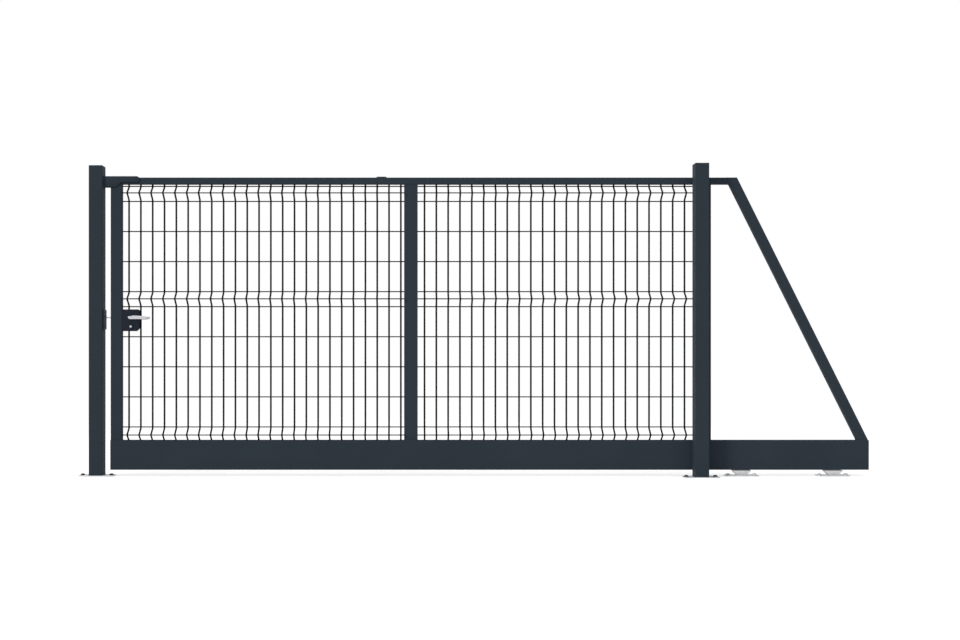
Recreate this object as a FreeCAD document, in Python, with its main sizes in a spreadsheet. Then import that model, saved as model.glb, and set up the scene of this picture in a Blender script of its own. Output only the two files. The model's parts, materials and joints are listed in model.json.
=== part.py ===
import FreeCAD, Part
import math
import os
import re
import Sketcher

# Sliding driveway gate: a self-supporting leaf that rolls on two carriages beside its opening.
# X runs along the gate from the catch post to the leaf's tail, Y away from the viewer, Z up from the ground.

SIZES = [
    # posts and their base plates
    ("post_width", 90),
    ("post_height", 2055),
    ("post_centre_gap", 3981),
    ("post_to_leaf_gap", 27),
    ("post_wall", 3),
    ("tube_corner", 3),
    ("cap_height", 6),
    ("cap_chamfer", 2),
    ("cap_spigot", 20),
    ("cap_fit", 0.5),
    ("plate_length", 230),
    ("plate_depth", 110),
    ("plate_height", 6),
    ("plate_corner", 12),
    ("anchor_spacing", 190),
    ("anchor_hole", 18),
    # leaf frame
    ("leaf_start", 94),
    ("leaf_end", 5110),
    ("frame_depth", 40),
    ("frame_wall", 2.5),
    ("stile_width", 75),
    ("upright_start", 2037),
    ("upright_width", 90),
    ("rear_stile_end", 4069),
    ("top_rail_top", 1977),
    ("top_rail_height", 44),
    ("brace_top_end", 4242),
    ("brace_slice", 73),
    ("stop_plate_start", 1851),
    ("stop_plate_length", 72),
    ("stop_plate_width", 20),
    ("stop_plate_height", 7),
    # bottom rail with its roller track
    ("rail_bottom", 42),
    ("rail_height", 196),
    ("rail_depth", 60),
    ("rail_wall", 3),
    ("lip_height", 4),
    ("track_slot", 24),
    ("web_height", 4),
    ("end_cap", 4),
    ("rail_corner", 4),
    # carriages
    ("tail_overhang", 231),
    ("carriage_spacing", 606),
    ("carriage_plate_length", 216),
    ("carriage_plate_depth", 90),
    ("carriage_anchor_spacing", 176),
    ("carriage_head", 125),
    ("carriage_head_depth", 50),
    ("carriage_foot", 57),
    ("carriage_foot_depth", 44),
    ("carriage_clearance", 5),
    ("stem_length", 110),
    ("stem_thickness", 12),
    ("truck_length", 250),
    ("truck_height", 26),
    ("truck_corner", 8),
    ("roller_diameter", 44),
    ("roller_width", 14),
    ("roller_spacing", 180),
    ("roller_sides", 16),
    ("running_gap", 0.3),
    # guide rollers at the top rail
    ("bracket_width", 58),
    ("bracket_offset", 13),
    ("bracket_height", 8),
    ("bracket_lift", 14),
    ("bracket_flange", 50),
    ("guide_roller_diameter", 22),
    ("guide_nut", 8),
    ("guide_nut_radius", 9),
    ("guide_roller_height", 36),
    # catch at the closed end
    ("catch_length", 238),
    ("catch_height", 70),
    ("catch_wall", 3),
    ("catch_clearance", 5),
    ("catch_corner", 12),
    ("catch_bend", 2),
    ("catch_step_start", 85),
    ("catch_step_end", 120),
    ("catch_step", 30),
    ("keep_below_spindle", 83),
    ("keep_height", 140),
    ("keep_width", 80),
    ("keep_thickness", 8),
    ("keep_slot_height", 24),
    ("keep_slot_width", 22),
    # lock
    ("lock_below_spindle", 90),
    ("lock_corner", 18),
    ("lock_top_corner", 8),
    ("lock_height", 144),
    ("lock_length", 113),
    ("lock_depth", 36),
    ("lock_edge", 2),
    ("spindle_inset", 58),
    ("spindle_height", 1050),
    ("tongue_height", 10),
    ("tongue_thickness", 10),
    ("tongue_clearance", 5),
    ("cylinder_below_spindle", 60),
    ("cylinder_diameter", 17),
    ("cylinder_profile", 26),
    ("cylinder_tongue", 10),
    ("cylinder_length", 44),
    ("lever_reach", 46),
    ("lever_neck", 16),
    ("lever_depth", 12),
    ("lever_nose", 9),
    ("lever_nose_height", 8),
    ("lever_height", 24),
    ("lever_shoulder", 22),
    ("lever_length", 111),
    ("lever_taper", 24),
    ("lever_tip", 15),
    ("lever_round", 4),
    ("lever_edge", 2),
    # folded wire mesh
    ("mesh_first_wire", 209),
    ("mesh_pitch", 78.54),
    ("wire_count", 24),
    ("mesh_plane", 12),
    ("fold_depth", 58),
    ("fold_half", 50),
    ("row_to_bend", 8),
    ("wire_trim", 20),
    ("top_row_drop", 10),
    ("low_apex_lift", 35),
    ("upright_wire", 10),
    ("row_wire", 6),
    ("weld_depth", 2),
]

doc = FreeCAD.newDocument("gate")
sizes = doc.addObject("Spreadsheet::Sheet", "sizes")
for number, (alias, value) in enumerate(SIZES, start=1):
    sizes.set("A%d" % number, alias)
    sizes.set("B%d" % number, str(value))
    sizes.setAlias("B%d" % number, alias)
doc.recompute()

ALIASES = {alias for alias, value in SIZES}
ROUGH_RADIUS = 100
LONG_EDGE_SHARE = 0.5
SAME_PLACE = 0.001
nodes = []


def formula(words):
    """Give every size word in a formula the name of the sheet that holds it."""
    return re.sub(r"[a-z_]+", lambda found: prefixed(found.group(0)), words)


def prefixed(word):
    return "sizes." + word if word in ALIASES else word


def bind(thing, **formulas):
    """Tie properties of an object to formulas; two underscores stand for a dot."""
    for name, words in formulas.items():
        thing.setExpression(name.replace("__", "."), formula(words))


def place(thing, x="0", y="0", z="0"):
    bind(thing, Placement__Base__x=x, Placement__Base__y=y, Placement__Base__z=z)


def keep(thing, label):
    thing.Label = label
    nodes.append(thing)
    return thing


def box(name, length, width, height, x, y, z):
    """A square-cut bar with one corner at x, y, z."""
    bar = doc.addObject("Part::Box", name)
    bind(bar, Length=length, Width=width, Height=height)
    place(bar, x, y, z)
    return bar


def cylinder(name, radius, height, x, y, z):
    rod = doc.addObject("Part::Cylinder", name)
    bind(rod, Radius=radius, Height=height)
    place(rod, x, y, z)
    return rod


def turned(thing, axis, degrees):
    """Point an upright primitive along another axis, keeping its bound place."""
    thing.Placement.Rotation = FreeCAD.Rotation(axis, degrees)
    return thing


def joined(name, pieces):
    whole = doc.addObject("Part::MultiFuse", name)
    whole.Shapes = pieces
    return whole


def origin_plane(body, role):
    return next(part for part in body.Origin.OriginFeatures if part.Role == role)


def new_sketch(body, name, role):
    sketch = body.newObject("Sketcher::SketchObject", name)
    sketch.AttachmentSupport = [(origin_plane(body, role), "")]
    sketch.MapMode = "FlatFace"
    return sketch


def rough_corners(count):
    """Corners on a circle, for the constraints to move to their places."""
    turn = 2 * math.pi / count
    return [FreeCAD.Vector(math.cos(turn * i), math.sin(turn * i), 0) * ROUGH_RADIUS for i in range(count)]


def outline(sketch, corners, closed=True):
    """Draw straight edges through corners given as pairs of formulas."""
    count = len(corners)
    start = rough_corners(count)
    edges = count if closed else count - 1
    first = sketch.GeometryCount
    for i in range(edges):
        sketch.addGeometry(Part.LineSegment(start[i], start[(i + 1) % count]))
    for i in range(edges if closed else edges - 1):
        sketch.addConstraint(Sketcher.Constraint("Coincident", first + i, 2, first + (i + 1) % edges, 1))
    for i, (across, up) in enumerate(corners):
        line, end = (first + i, 1) if i < edges else (first + i - 1, 2)
        pin_corner(sketch, line, end, start[i], across, up)


def circle(sketch, radius, across, up):
    """Draw a circle with its middle at a pair of formulas."""
    middle = FreeCAD.Vector(ROUGH_RADIUS, ROUGH_RADIUS, 0)
    ring = sketch.addGeometry(Part.Circle(middle, FreeCAD.Vector(0, 0, 1), ROUGH_RADIUS))
    index = sketch.addConstraint(Sketcher.Constraint("Radius", ring, ROUGH_RADIUS))
    sketch.setExpression("Constraints[%d]" % index, formula(radius))
    pin_corner(sketch, ring, 3, middle, across, up)


def pin_corner(sketch, line, end, point, across, up):
    for kind, value, words in (("DistanceX", point.x, across), ("DistanceY", point.y, up)):
        index = sketch.addConstraint(Sketcher.Constraint(kind, -1, 1, line, end, value))
        sketch.setExpression("Constraints[%d]" % index, formula(words))


def pad(body, name, sketch, length, midplane=False):
    feature = body.newObject("PartDesign::Pad", name)
    feature.Profile = sketch
    feature.Midplane = midplane
    feature.Refine = False
    bind(feature, Length=length)
    return feature


def prism(name, role, corners, length, midplane=False):
    """A body with one straight-edged outline, padded square to its plane."""
    body = doc.addObject("PartDesign::Body", name)
    sketch = new_sketch(body, name + "_outline", role)
    outline(sketch, corners)
    pad(body, name + "_pad", sketch, length, midplane)
    return body


def numbered(shape, test):
    """Numbers of a shape's edges that pass a test."""
    return [i for i, edge in enumerate(shape.Edges, start=1) if test(edge)]


def long_edges(shape):
    least = LONG_EDGE_SHARE * max(edge.Length for edge in shape.Edges)
    return numbered(shape, lambda edge: edge.Length > least)


def side_edges(shape):
    """The long edges on a bar's front and back, without those of its hollows."""
    side = shape.BoundBox.YMax - SAME_PLACE
    return [i for i in long_edges(shape) if abs(shape.Edges[i - 1].CenterOfMass.y) > side]


def upright_edges(shape):
    return numbered(shape, lambda edge: edge.Length - edge.BoundBox.ZLength < SAME_PLACE)


def lengthwise_edges(shape):
    return numbered(shape, lambda edge: edge.Length - edge.BoundBox.XLength < SAME_PLACE)


def crosswise_edges(shape):
    return numbered(shape, lambda edge: edge.Length - edge.BoundBox.YLength < SAME_PLACE)


def top_edges(shape):
    level = shape.BoundBox.ZMax - SAME_PLACE
    return numbered(shape, lambda edge: edge.BoundBox.ZMin > level)


def face_edges(shape):
    """The edges around a padded outline's front and back faces."""
    return numbered(shape, lambda edge: edge.BoundBox.YLength < SAME_PLACE)


def eased(body, size, chosen):
    """Chamfer the edges that a rule picks from the body's latest shape."""
    doc.recompute()
    bar = body.Tip
    easing = body.newObject("PartDesign::Chamfer", body.Name + "_easing")
    easing.Base = (bar, ["Edge%d" % number for number in chosen(bar.Shape)])
    bind(easing, Size=size)
    return body


def rounded(body, radius, chosen):
    """Fillet the edges that a rule picks from the body's latest shape."""
    doc.recompute()
    bar = body.Tip
    rounding = body.newObject("PartDesign::Fillet", body.Name + "_rounding")
    rounding.Base = (bar, ["Edge%d" % number for number in chosen(bar.Shape)])
    bind(rounding, Radius=radius)
    return body


def pocket(body, name, role, outlines, depth=None):
    """Cut straight-edged outlines from the middle of a body, or right through it with no depth."""
    doc.recompute()
    sketch = new_sketch(body, name + "_outline", role)
    for corners in outlines:
        outline(sketch, corners)
    hollow = body.newObject("PartDesign::Pocket", name)
    hollow.Profile = sketch
    hollow.Midplane = True
    hollow.Refine = False
    if depth:
        bind(hollow, Length=depth)
    else:
        hollow.Type = "ThroughAll"
    return body


def tube(name, outer, inner, depth, wall):
    """A steel tube: an outline padded to both sides, eased along its corners and hollowed to its walls."""
    body = prism(name, "XZ_Plane", outer, depth, midplane=True)
    eased(body, "tube_corner", long_edges)
    return pocket(body, name + "_bore", "XZ_Plane", [inner], "%s - 2 * %s" % (depth, wall))


def mirrored(name, source):
    """The same piece on the other side of the leaf."""
    twin = doc.addObject("Part::Mirroring", name)
    twin.Source = source
    twin.Normal = FreeCAD.Vector(0, 1, 0)
    return twin


def rectangle(left, right, bottom, top):
    return [(left, bottom), (right, bottom), (right, top), (left, top)]


# Posts

POST_HALF = "post_width / 2"
POST_INSIDE = "(post_width / 2 - post_wall)"
POST_TOP = "(post_height - cap_height)"


def post(name, x, y):
    """A square tube on its base plate, closed by a push-in cap."""
    outer = rectangle("-" + POST_HALF, POST_HALF, "plate_height", POST_TOP)
    inner = rectangle("-" + POST_INSIDE, POST_INSIDE, "plate_height - post_wall", POST_TOP + " + post_wall")
    shaft = tube(name, outer, inner, "post_width", "post_wall")
    place(shaft, x, y)
    keep(shaft, name)
    cap_name = name + "_cap"
    keep(post_cap(cap_name, x, y), cap_name)
    plate_name = name + "_plate"
    keep(anchor_plate(plate_name, "plate_length", "plate_depth", "anchor_spacing", x, y), plate_name)


def square(half):
    return rectangle("-" + half, half, "-" + half, half)


def post_cap(name, x, y):
    """A chamfered lid with a spigot that fits inside the tube."""
    body = prism(name, "XY_Plane", square(POST_HALF), "cap_height")
    eased(body, "tube_corner", upright_edges)
    eased(body, "cap_chamfer", top_edges)
    doc.recompute()
    sketch = new_sketch(body, name + "_spigot_outline", "XY_Plane")
    outline(sketch, square("(%s - cap_fit)" % POST_INSIDE))
    spigot = pad(body, name + "_spigot", sketch, "cap_spigot")
    spigot.Reversed = True
    place(body, x, y, POST_TOP)
    return body


def anchor_plate(name, length, depth, spacing, x, y):
    """A base plate with an anchor hole at each end, its underside on the ground."""
    half_length = length + " / 2"
    half_depth = depth + " / 2"
    body = prism(name, "XY_Plane", rectangle("-" + half_length, half_length, "-" + half_depth, half_depth),
                 "plate_height")
    eased(body, "plate_corner", upright_edges)
    doc.recompute()
    anchors = new_sketch(body, name + "_anchors", "XY_Plane")
    bind(anchors, AttachmentOffset__Base__z="plate_height")
    for side in ("-", ""):
        circle(anchors, "anchor_hole / 2", side + spacing + " / 2", "0")
    doc.recompute()
    holes = body.newObject("PartDesign::Hole", name + "_holes")
    holes.Profile = anchors
    holes.DepthType = "ThroughAll"
    bind(holes, Diameter="anchor_hole")
    place(body, x, y)
    return body


GUIDE_POST_Y = "-(rail_depth / 2 + post_to_leaf_gap + post_width / 2)"
post("catch_post", "0", "0")
post("guide_post", "post_centre_gap", GUIDE_POST_Y)

# Leaf frame

RAIL_TOP = "(rail_bottom + rail_height)"
TOP_RAIL_BOTTOM = "(top_rail_top - top_rail_height)"
BRACE_LEAN = "((leaf_end - brace_top_end) / (top_rail_top - %s))" % RAIL_TOP
BRACE_WALL = "(frame_wall * sqrt(1 + %s ^ 2))" % BRACE_LEAN


def brace_edge(height):
    """Where the brace's front edge is at a height."""
    return "(brace_top_end - brace_slice + (top_rail_top - (%s)) * %s)" % (height, BRACE_LEAN)


def upright(name, start, end):
    outer = rectangle(start, end, RAIL_TOP, TOP_RAIL_BOTTOM)
    inner = rectangle(start + " + frame_wall", end + " - frame_wall",
                      RAIL_TOP + " - frame_wall", TOP_RAIL_BOTTOM + " + frame_wall")
    keep(tube(name, outer, inner, "frame_depth", "frame_wall"), name)


upright("front_stile", "leaf_start", "leaf_start + stile_width")
upright("centre_upright", "upright_start", "upright_start + upright_width")
upright("rear_stile", "rear_stile_end - stile_width", "rear_stile_end")

# The top rail's front end and the brace's top end are closed; the inside runs past the other ends

INSIDE_TOP = "(top_rail_top - frame_wall)"
TOP_RAIL_FLOOR = "(%s + frame_wall)" % TOP_RAIL_BOTTOM
keep(tube("top_rail", [
    ("leaf_start", TOP_RAIL_BOTTOM),
    (brace_edge(TOP_RAIL_BOTTOM), TOP_RAIL_BOTTOM),
    (brace_edge("top_rail_top"), "top_rail_top"),
    ("leaf_start", "top_rail_top"),
], [
    ("leaf_start + frame_wall", TOP_RAIL_FLOOR),
    (brace_edge(TOP_RAIL_FLOOR) + " + frame_wall", TOP_RAIL_FLOOR),
    (brace_edge(INSIDE_TOP) + " + frame_wall", INSIDE_TOP),
    ("leaf_start + frame_wall", INSIDE_TOP),
], "frame_depth", "frame_wall"), "top_rail")

BRACE_FLOOR = "(%s - frame_wall)" % RAIL_TOP
keep(tube("brace", [
    (brace_edge(RAIL_TOP), RAIL_TOP),
    (brace_edge(RAIL_TOP) + " + brace_slice", RAIL_TOP),
    ("brace_top_end", "top_rail_top"),
    (brace_edge("top_rail_top"), "top_rail_top"),
], [
    (brace_edge(BRACE_FLOOR) + " + " + BRACE_WALL, BRACE_FLOOR),
    (brace_edge(BRACE_FLOOR) + " + brace_slice - " + BRACE_WALL, BRACE_FLOOR),
    (brace_edge(INSIDE_TOP) + " + brace_slice - " + BRACE_WALL, INSIDE_TOP),
    (brace_edge(INSIDE_TOP) + " + " + BRACE_WALL, INSIDE_TOP),
], "frame_depth", "frame_wall"), "brace")

STOP_END = "stop_plate_start + stop_plate_length"
keep(prism("stop_plate", "XZ_Plane", [
    ("stop_plate_start", "top_rail_top"),
    (STOP_END, "top_rail_top"),
    (STOP_END + " - stop_plate_height", "top_rail_top + stop_plate_height"),
    ("stop_plate_start + stop_plate_height", "top_rail_top + stop_plate_height"),
], "stop_plate_width", midplane=True), "stop_plate")

# Bottom rail: a closed box above, an open roller track with two lips below

RAIL_SIDE = "rail_depth / 2"
TRACK_SIDE = "(rail_depth / 2 - rail_wall)"
SLOT_SIDE = "track_slot / 2"
LIP_TOP = "(rail_bottom + lip_height)"
TRACK_TOP = "(%s + roller_diameter + 2 * running_gap)" % LIP_TOP

rail = doc.addObject("PartDesign::Body", "bottom_rail")
rail_section = new_sketch(rail, "rail_section", "YZ_Plane")
outline(rail_section, [
    ("-" + RAIL_SIDE, "rail_bottom"),
    ("-" + SLOT_SIDE, "rail_bottom"),
    ("-" + SLOT_SIDE, LIP_TOP),
    ("-" + TRACK_SIDE, LIP_TOP),
    ("-" + TRACK_SIDE, TRACK_TOP),
    (TRACK_SIDE, TRACK_TOP),
    (TRACK_SIDE, LIP_TOP),
    (SLOT_SIDE, LIP_TOP),
    (SLOT_SIDE, "rail_bottom"),
    (RAIL_SIDE, "rail_bottom"),
    (RAIL_SIDE, RAIL_TOP),
    ("-" + RAIL_SIDE, RAIL_TOP),
])
outline(rail_section, rectangle("-" + TRACK_SIDE, TRACK_SIDE,
                                TRACK_TOP + " + web_height", RAIL_TOP + " - rail_wall"))
pad(rail, "rail_pad", rail_section, "leaf_end - leaf_start - 2 * end_cap")
eased(rail, "rail_corner", side_edges)
place(rail, x="leaf_start + end_cap")
keep(rail, "bottom_rail")

RAIL_END = rectangle("-" + RAIL_SIDE, RAIL_SIDE, "rail_bottom", RAIL_TOP)
for cap_name, start in (("rail_front_cap", "leaf_start"), ("rail_tail_cap", "leaf_end - end_cap")):
    end_plate = prism(cap_name, "YZ_Plane", RAIL_END, "end_cap")
    eased(end_plate, "rail_corner", lengthwise_edges)
    place(end_plate, x=start)
    keep(end_plate, cap_name)

# Carriages that stand in the leaf's track

CARRIAGE_TOP = "(rail_bottom - carriage_clearance)"
ROLLER_AXIS = "(%s + running_gap + roller_diameter / 2)" % LIP_TOP
TRUCK_BOTTOM = "(%s - truck_height / 2)" % ROLLER_AXIS


def carriage(name, x):
    keep(anchor_plate(name + "_plate", "carriage_plate_length", "carriage_plate_depth",
                      "carriage_anchor_spacing", x, "0"), name + "_plate")
    keep(tapered_foot(name + "_foot", x), name + "_foot")
    keep(truck(name + "_truck", x), name + "_truck")


def tapered_foot(name, x):
    """A cast foot that widens from its base plate to just under the rail."""
    foot = doc.addObject("Part::Wedge", name)
    bind(foot, Ymin="plate_height", Ymax=CARRIAGE_TOP)
    bind(foot, Xmin="-carriage_foot / 2", Xmax="carriage_foot / 2")
    bind(foot, Zmin="-carriage_foot_depth / 2", Zmax="carriage_foot_depth / 2")
    bind(foot, X2min="-carriage_head / 2", X2max="carriage_head / 2")
    bind(foot, Z2min="-carriage_head_depth / 2", Z2max="carriage_head_depth / 2")
    place(foot, x=x)
    return turned(foot, FreeCAD.Vector(1, 0, 0), 90)


def truck(name, x):
    """A spine on a stem that passes the track's slot, with a pair of rollers near each end."""
    ends = ("-truck_length / 2", "truck_length / 2")
    spine_top = "(%s + truck_height)" % TRUCK_BOTTOM
    spine = prism(name + "_spine", "XZ_Plane", [
        ("-stem_length / 2", CARRIAGE_TOP),
        ("stem_length / 2", CARRIAGE_TOP),
        ("stem_length / 2", TRUCK_BOTTOM),
        (ends[1] + " - truck_corner", TRUCK_BOTTOM),
        (ends[1], TRUCK_BOTTOM + " + truck_corner"),
        (ends[1], spine_top + " - truck_corner"),
        (ends[1] + " - truck_corner", spine_top),
        (ends[0] + " + truck_corner", spine_top),
        (ends[0], spine_top + " - truck_corner"),
        (ends[0], TRUCK_BOTTOM + " + truck_corner"),
        (ends[0] + " + truck_corner", TRUCK_BOTTOM),
        ("-stem_length / 2", TRUCK_BOTTOM),
    ], "stem_thickness", midplane=True)
    place(spine, x=x)
    pieces = [spine]
    for end in ("-", "+"):
        for side, start in (("front", "-stem_thickness / 2"), ("back", "stem_thickness / 2 + roller_width")):
            pieces.append(roller("%s_%s_roller_%d" % (name, side, len(pieces)),
                                 "%s %s roller_spacing / 2" % (x, end), start))
    return joined(name, pieces)


def roller(name, x, y):
    """A track roller; it is hidden in the rail, so it has few sides."""
    wheel = doc.addObject("Part::Prism", name)
    bind(wheel, Polygon="roller_sides", Circumradius="roller_diameter / 2", Height="roller_width")
    place(wheel, x, y, ROLLER_AXIS)
    return turned(wheel, FreeCAD.Vector(1, 0, 0), 90)


REAR_CARRIAGE_X = "(leaf_end - tail_overhang)"
carriage("front_carriage", "(%s - carriage_spacing)" % REAR_CARRIAGE_X)
carriage("rear_carriage", REAR_CARRIAGE_X)

# Guide rollers behind the guide post, on both sides of the top rail

BRACKET_BOTTOM = "(top_rail_top + bracket_lift)"
ROLLER_OUT = "(frame_depth / 2 + running_gap + guide_roller_diameter / 2)"
POST_BACK = "-(rail_depth / 2 + post_to_leaf_gap)"
GUIDE_X = "(post_centre_gap + bracket_offset)"
BRACKET_END = "(%s + guide_roller_diameter / 2)" % ROLLER_OUT

bracket = prism("guide_bracket", "YZ_Plane", [
    (POST_BACK, BRACKET_BOTTOM),
    (BRACKET_END, BRACKET_BOTTOM),
    (BRACKET_END, BRACKET_BOTTOM + " + bracket_height"),
    (POST_BACK + " + bracket_height", BRACKET_BOTTOM + " + bracket_height"),
    (POST_BACK + " + bracket_height", BRACKET_BOTTOM + " + bracket_flange"),
    (POST_BACK, BRACKET_BOTTOM + " + bracket_flange"),
], "bracket_width")
place(bracket, x=GUIDE_X + " - bracket_width / 2")
keep(bracket, "guide_bracket")
for roller_name, side in (("front_guide_roller", "-"), ("rear_guide_roller", "")):
    wheel = cylinder(roller_name + "_wheel", "guide_roller_diameter / 2", "guide_roller_height",
                     GUIDE_X, side + ROLLER_OUT, BRACKET_BOTTOM + " - guide_nut - guide_roller_height")
    nut = doc.addObject("Part::Prism", roller_name + "_nut")
    bind(nut, Circumradius="guide_nut_radius", Height="guide_nut")
    place(nut, GUIDE_X, side + ROLLER_OUT, BRACKET_BOTTOM + " - guide_nut")
    keep(joined(roller_name, [wheel, nut]), roller_name)

# Catch on the closing post

CATCH_INNER = "(frame_depth / 2 + catch_clearance)"
CATCH_OUTER = "(%s + catch_wall)" % CATCH_INNER
CATCH_TOP = "(top_rail_top + catch_clearance + catch_wall)"
CATCH_BOTTOM = "(%s - catch_height)" % CATCH_TOP
catch = prism("upper_catch", "YZ_Plane", [
    ("-" + CATCH_OUTER, CATCH_BOTTOM),
    ("-" + CATCH_INNER, CATCH_BOTTOM),
    ("-" + CATCH_INNER, CATCH_TOP + " - catch_wall"),
    (CATCH_INNER, CATCH_TOP + " - catch_wall"),
    (CATCH_INNER, CATCH_BOTTOM),
    (CATCH_OUTER, CATCH_BOTTOM),
    (CATCH_OUTER, CATCH_TOP),
    ("-" + CATCH_OUTER, CATCH_TOP),
], "catch_length")
eased(catch, "catch_bend", top_edges)
pocket(catch, "catch_corner_cut", "XZ_Plane", [[
    ("catch_length - catch_corner", CATCH_TOP),
    ("catch_length", CATCH_TOP + " - catch_corner"),
    ("catch_length", CATCH_TOP),
], [
    ("catch_step_start", CATCH_BOTTOM),
    ("catch_length", CATCH_BOTTOM),
    ("catch_length", CATCH_BOTTOM + " + catch_step"),
    ("catch_step_end", CATCH_BOTTOM + " + catch_step"),
]])
place(catch, x="post_width / 2")
keep(catch, "upper_catch")

KEEP_BOTTOM = "(spindle_height - keep_below_spindle)"
KEEP_TOP = "(%s + keep_height)" % KEEP_BOTTOM
KEEP_FACE = "post_width / 2"
strike = prism("lock_keep", "XZ_Plane", [
    (KEEP_FACE, KEEP_BOTTOM),
    (KEEP_FACE + " + keep_thickness", KEEP_BOTTOM + " + keep_thickness"),
    (KEEP_FACE + " + keep_thickness", KEEP_TOP + " - keep_thickness"),
    (KEEP_FACE, KEEP_TOP),
], "keep_width", midplane=True)
pocket(strike, "keep_slot", "YZ_Plane", [rectangle(
    "-keep_slot_width / 2", "keep_slot_width / 2",
    "spindle_height - keep_slot_height / 2", "spindle_height + keep_slot_height / 2")])
keep(strike, "lock_keep")

# Lock on the front stile

LOCK_START = "(leaf_start + stile_width)"
LOCK_FRONT = "-lock_depth / 2"
SPINDLE_X = "(%s + spindle_inset)" % LOCK_START
LOCK_BOTTOM = "(spindle_height - lock_below_spindle)"
LOCK_TOP = "(%s + lock_height)" % LOCK_BOTTOM
LOCK_END = "(%s + lock_length)" % LOCK_START
lock = prism("lock_box", "XZ_Plane", [
    (LOCK_START, LOCK_BOTTOM),
    (LOCK_END + " - lock_corner", LOCK_BOTTOM),
    (LOCK_END, LOCK_BOTTOM + " + lock_corner"),
    (LOCK_END, LOCK_TOP + " - lock_top_corner"),
    (LOCK_END + " - lock_top_corner", LOCK_TOP),
    (LOCK_START, LOCK_TOP),
], "lock_depth", midplane=True)
keep(eased(lock, "lock_edge", face_edges), "lock_box")
TONGUE_END = "(post_width / 2 + tongue_clearance)"
keep(box("latch_tongue", "leaf_start - " + TONGUE_END, "tongue_thickness", "tongue_height",
         TONGUE_END, "-tongue_thickness / 2", "spindle_height - tongue_height / 2"), "latch_tongue")
CYLINDER_Z = "(spindle_height - cylinder_below_spindle)"
CYLINDER_OUT = "((cylinder_length - lock_depth) / 2)"
CYLINDER_DROP = "(cylinder_profile - cylinder_diameter / 2)"
plug = cylinder("key_plug", "cylinder_diameter / 2", CYLINDER_OUT, SPINDLE_X, LOCK_FRONT, CYLINDER_Z)
tongue = box("key_tongue", "cylinder_tongue", CYLINDER_OUT, CYLINDER_DROP,
             SPINDLE_X + " - cylinder_tongue / 2", LOCK_FRONT + " - " + CYLINDER_OUT,
             CYLINDER_Z + " - " + CYLINDER_DROP)
key_cylinder = joined("key_cylinder", [turned(plug, FreeCAD.Vector(1, 0, 0), 90), tongue])
keep(key_cylinder, "key_cylinder")
keep(mirrored("rear_key_cylinder", key_cylinder), "rear_key_cylinder")

neck = cylinder("lever_neck", "lever_neck / 2", "lever_reach - running_gap",
                SPINDLE_X, LOCK_FRONT + " - running_gap", "spindle_height")
arm = prism("lever_arm", "XZ_Plane", [
    ("-lever_nose", "-lever_nose_height / 2"),
    ("0", "-lever_height / 2"),
    ("lever_length - lever_taper", "-lever_height / 2"),
    ("lever_length", "-lever_tip / 2"),
    ("lever_length", "lever_tip / 2"),
    ("lever_shoulder", "lever_height / 2"),
    ("-lever_nose", "lever_nose_height / 2"),
], "lever_depth")
rounded(arm, "lever_round", crosswise_edges)
eased(arm, "lever_edge", face_edges)
place(arm, SPINDLE_X, LOCK_FRONT + " - lever_reach + lever_depth", "spindle_height")
lever = joined("lever_handle", [turned(neck, FreeCAD.Vector(1, 0, 0), 90), arm])
keep(lever, "lever_handle")
keep(mirrored("rear_lever", lever), "rear_lever")

# Folded wire mesh in both bays: upright wires bent three times, straight wires across them

UPPER_ROW_COUNT = 2
LOWER_ROW_COUNT = 3
PITCH_COUNT = UPPER_ROW_COUNT + LOWER_ROW_COUNT + 2
LOW_APEX = "(%s + low_apex_lift)" % RAIL_TOP
FOLD_TOP = "(%s - top_row_drop)" % TOP_RAIL_BOTTOM
FOLD_LOW = "(%s + fold_half)" % LOW_APEX
ROW_PITCH = "((%s - %s - 4 * fold_half) / %d)" % (FOLD_TOP, FOLD_LOW, PITCH_COUNT)
FOLD_MIDDLE = "(%s - 2 * fold_half - %d * %s)" % (FOLD_TOP, UPPER_ROW_COUNT + 1, ROW_PITCH)
FOLDS = ((FOLD_TOP, UPPER_ROW_COUNT), (FOLD_MIDDLE, LOWER_ROW_COUNT), (FOLD_LOW, 0))
WIRE_PATH = [("mesh_plane", TOP_RAIL_BOTTOM)]
for fold in (FOLD_TOP, FOLD_MIDDLE):
    WIRE_PATH += [
        ("mesh_plane", fold + " - row_to_bend"),
        ("mesh_plane - fold_depth", fold + " - fold_half"),
        ("mesh_plane", fold + " - 2 * fold_half + row_to_bend"),
    ]
WIRE_END = "(%s - wire_trim / 2)" % RAIL_TOP
FOLD_SLOPE = "(fold_depth / (fold_half - row_to_bend))"
WIRE_PATH += [
    ("mesh_plane", FOLD_LOW + " - row_to_bend"),
    ("mesh_plane - fold_depth", LOW_APEX),
    ("mesh_plane - fold_depth + %s * (%s - %s)" % (FOLD_SLOPE, LOW_APEX, WIRE_END), WIRE_END),
]
# The wires have three equal sides; this is how far their edges are from their middle line
UPRIGHT_EDGE = "(upright_wire / sqrt(3))"
ROW_EDGE = "(row_wire / sqrt(3))"
ROW_REACH = "(%s - weld_depth)" % ROW_EDGE


def row_centres():
    """Places of the wires across: at the folds' edges and apexes, and between the folds."""
    back = "mesh_plane + %s + %s" % (UPRIGHT_EDGE, ROW_REACH)
    apex = "mesh_plane - fold_depth + %s * sqrt(1 + %s ^ 2) + %s" % (UPRIGHT_EDGE, FOLD_SLOPE, ROW_REACH)
    rows = []
    for fold, plain in FOLDS:
        rows.append((back, fold))
        rows.append((apex, fold + " - fold_half"))
        if fold != FOLD_LOW:
            rows.append((back, fold + " - 2 * fold_half"))
        for i in range(plain):
            rows.append((back, "%s - 2 * fold_half - %d * %s" % (fold, i + 1, ROW_PITCH)))
    return rows


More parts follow.
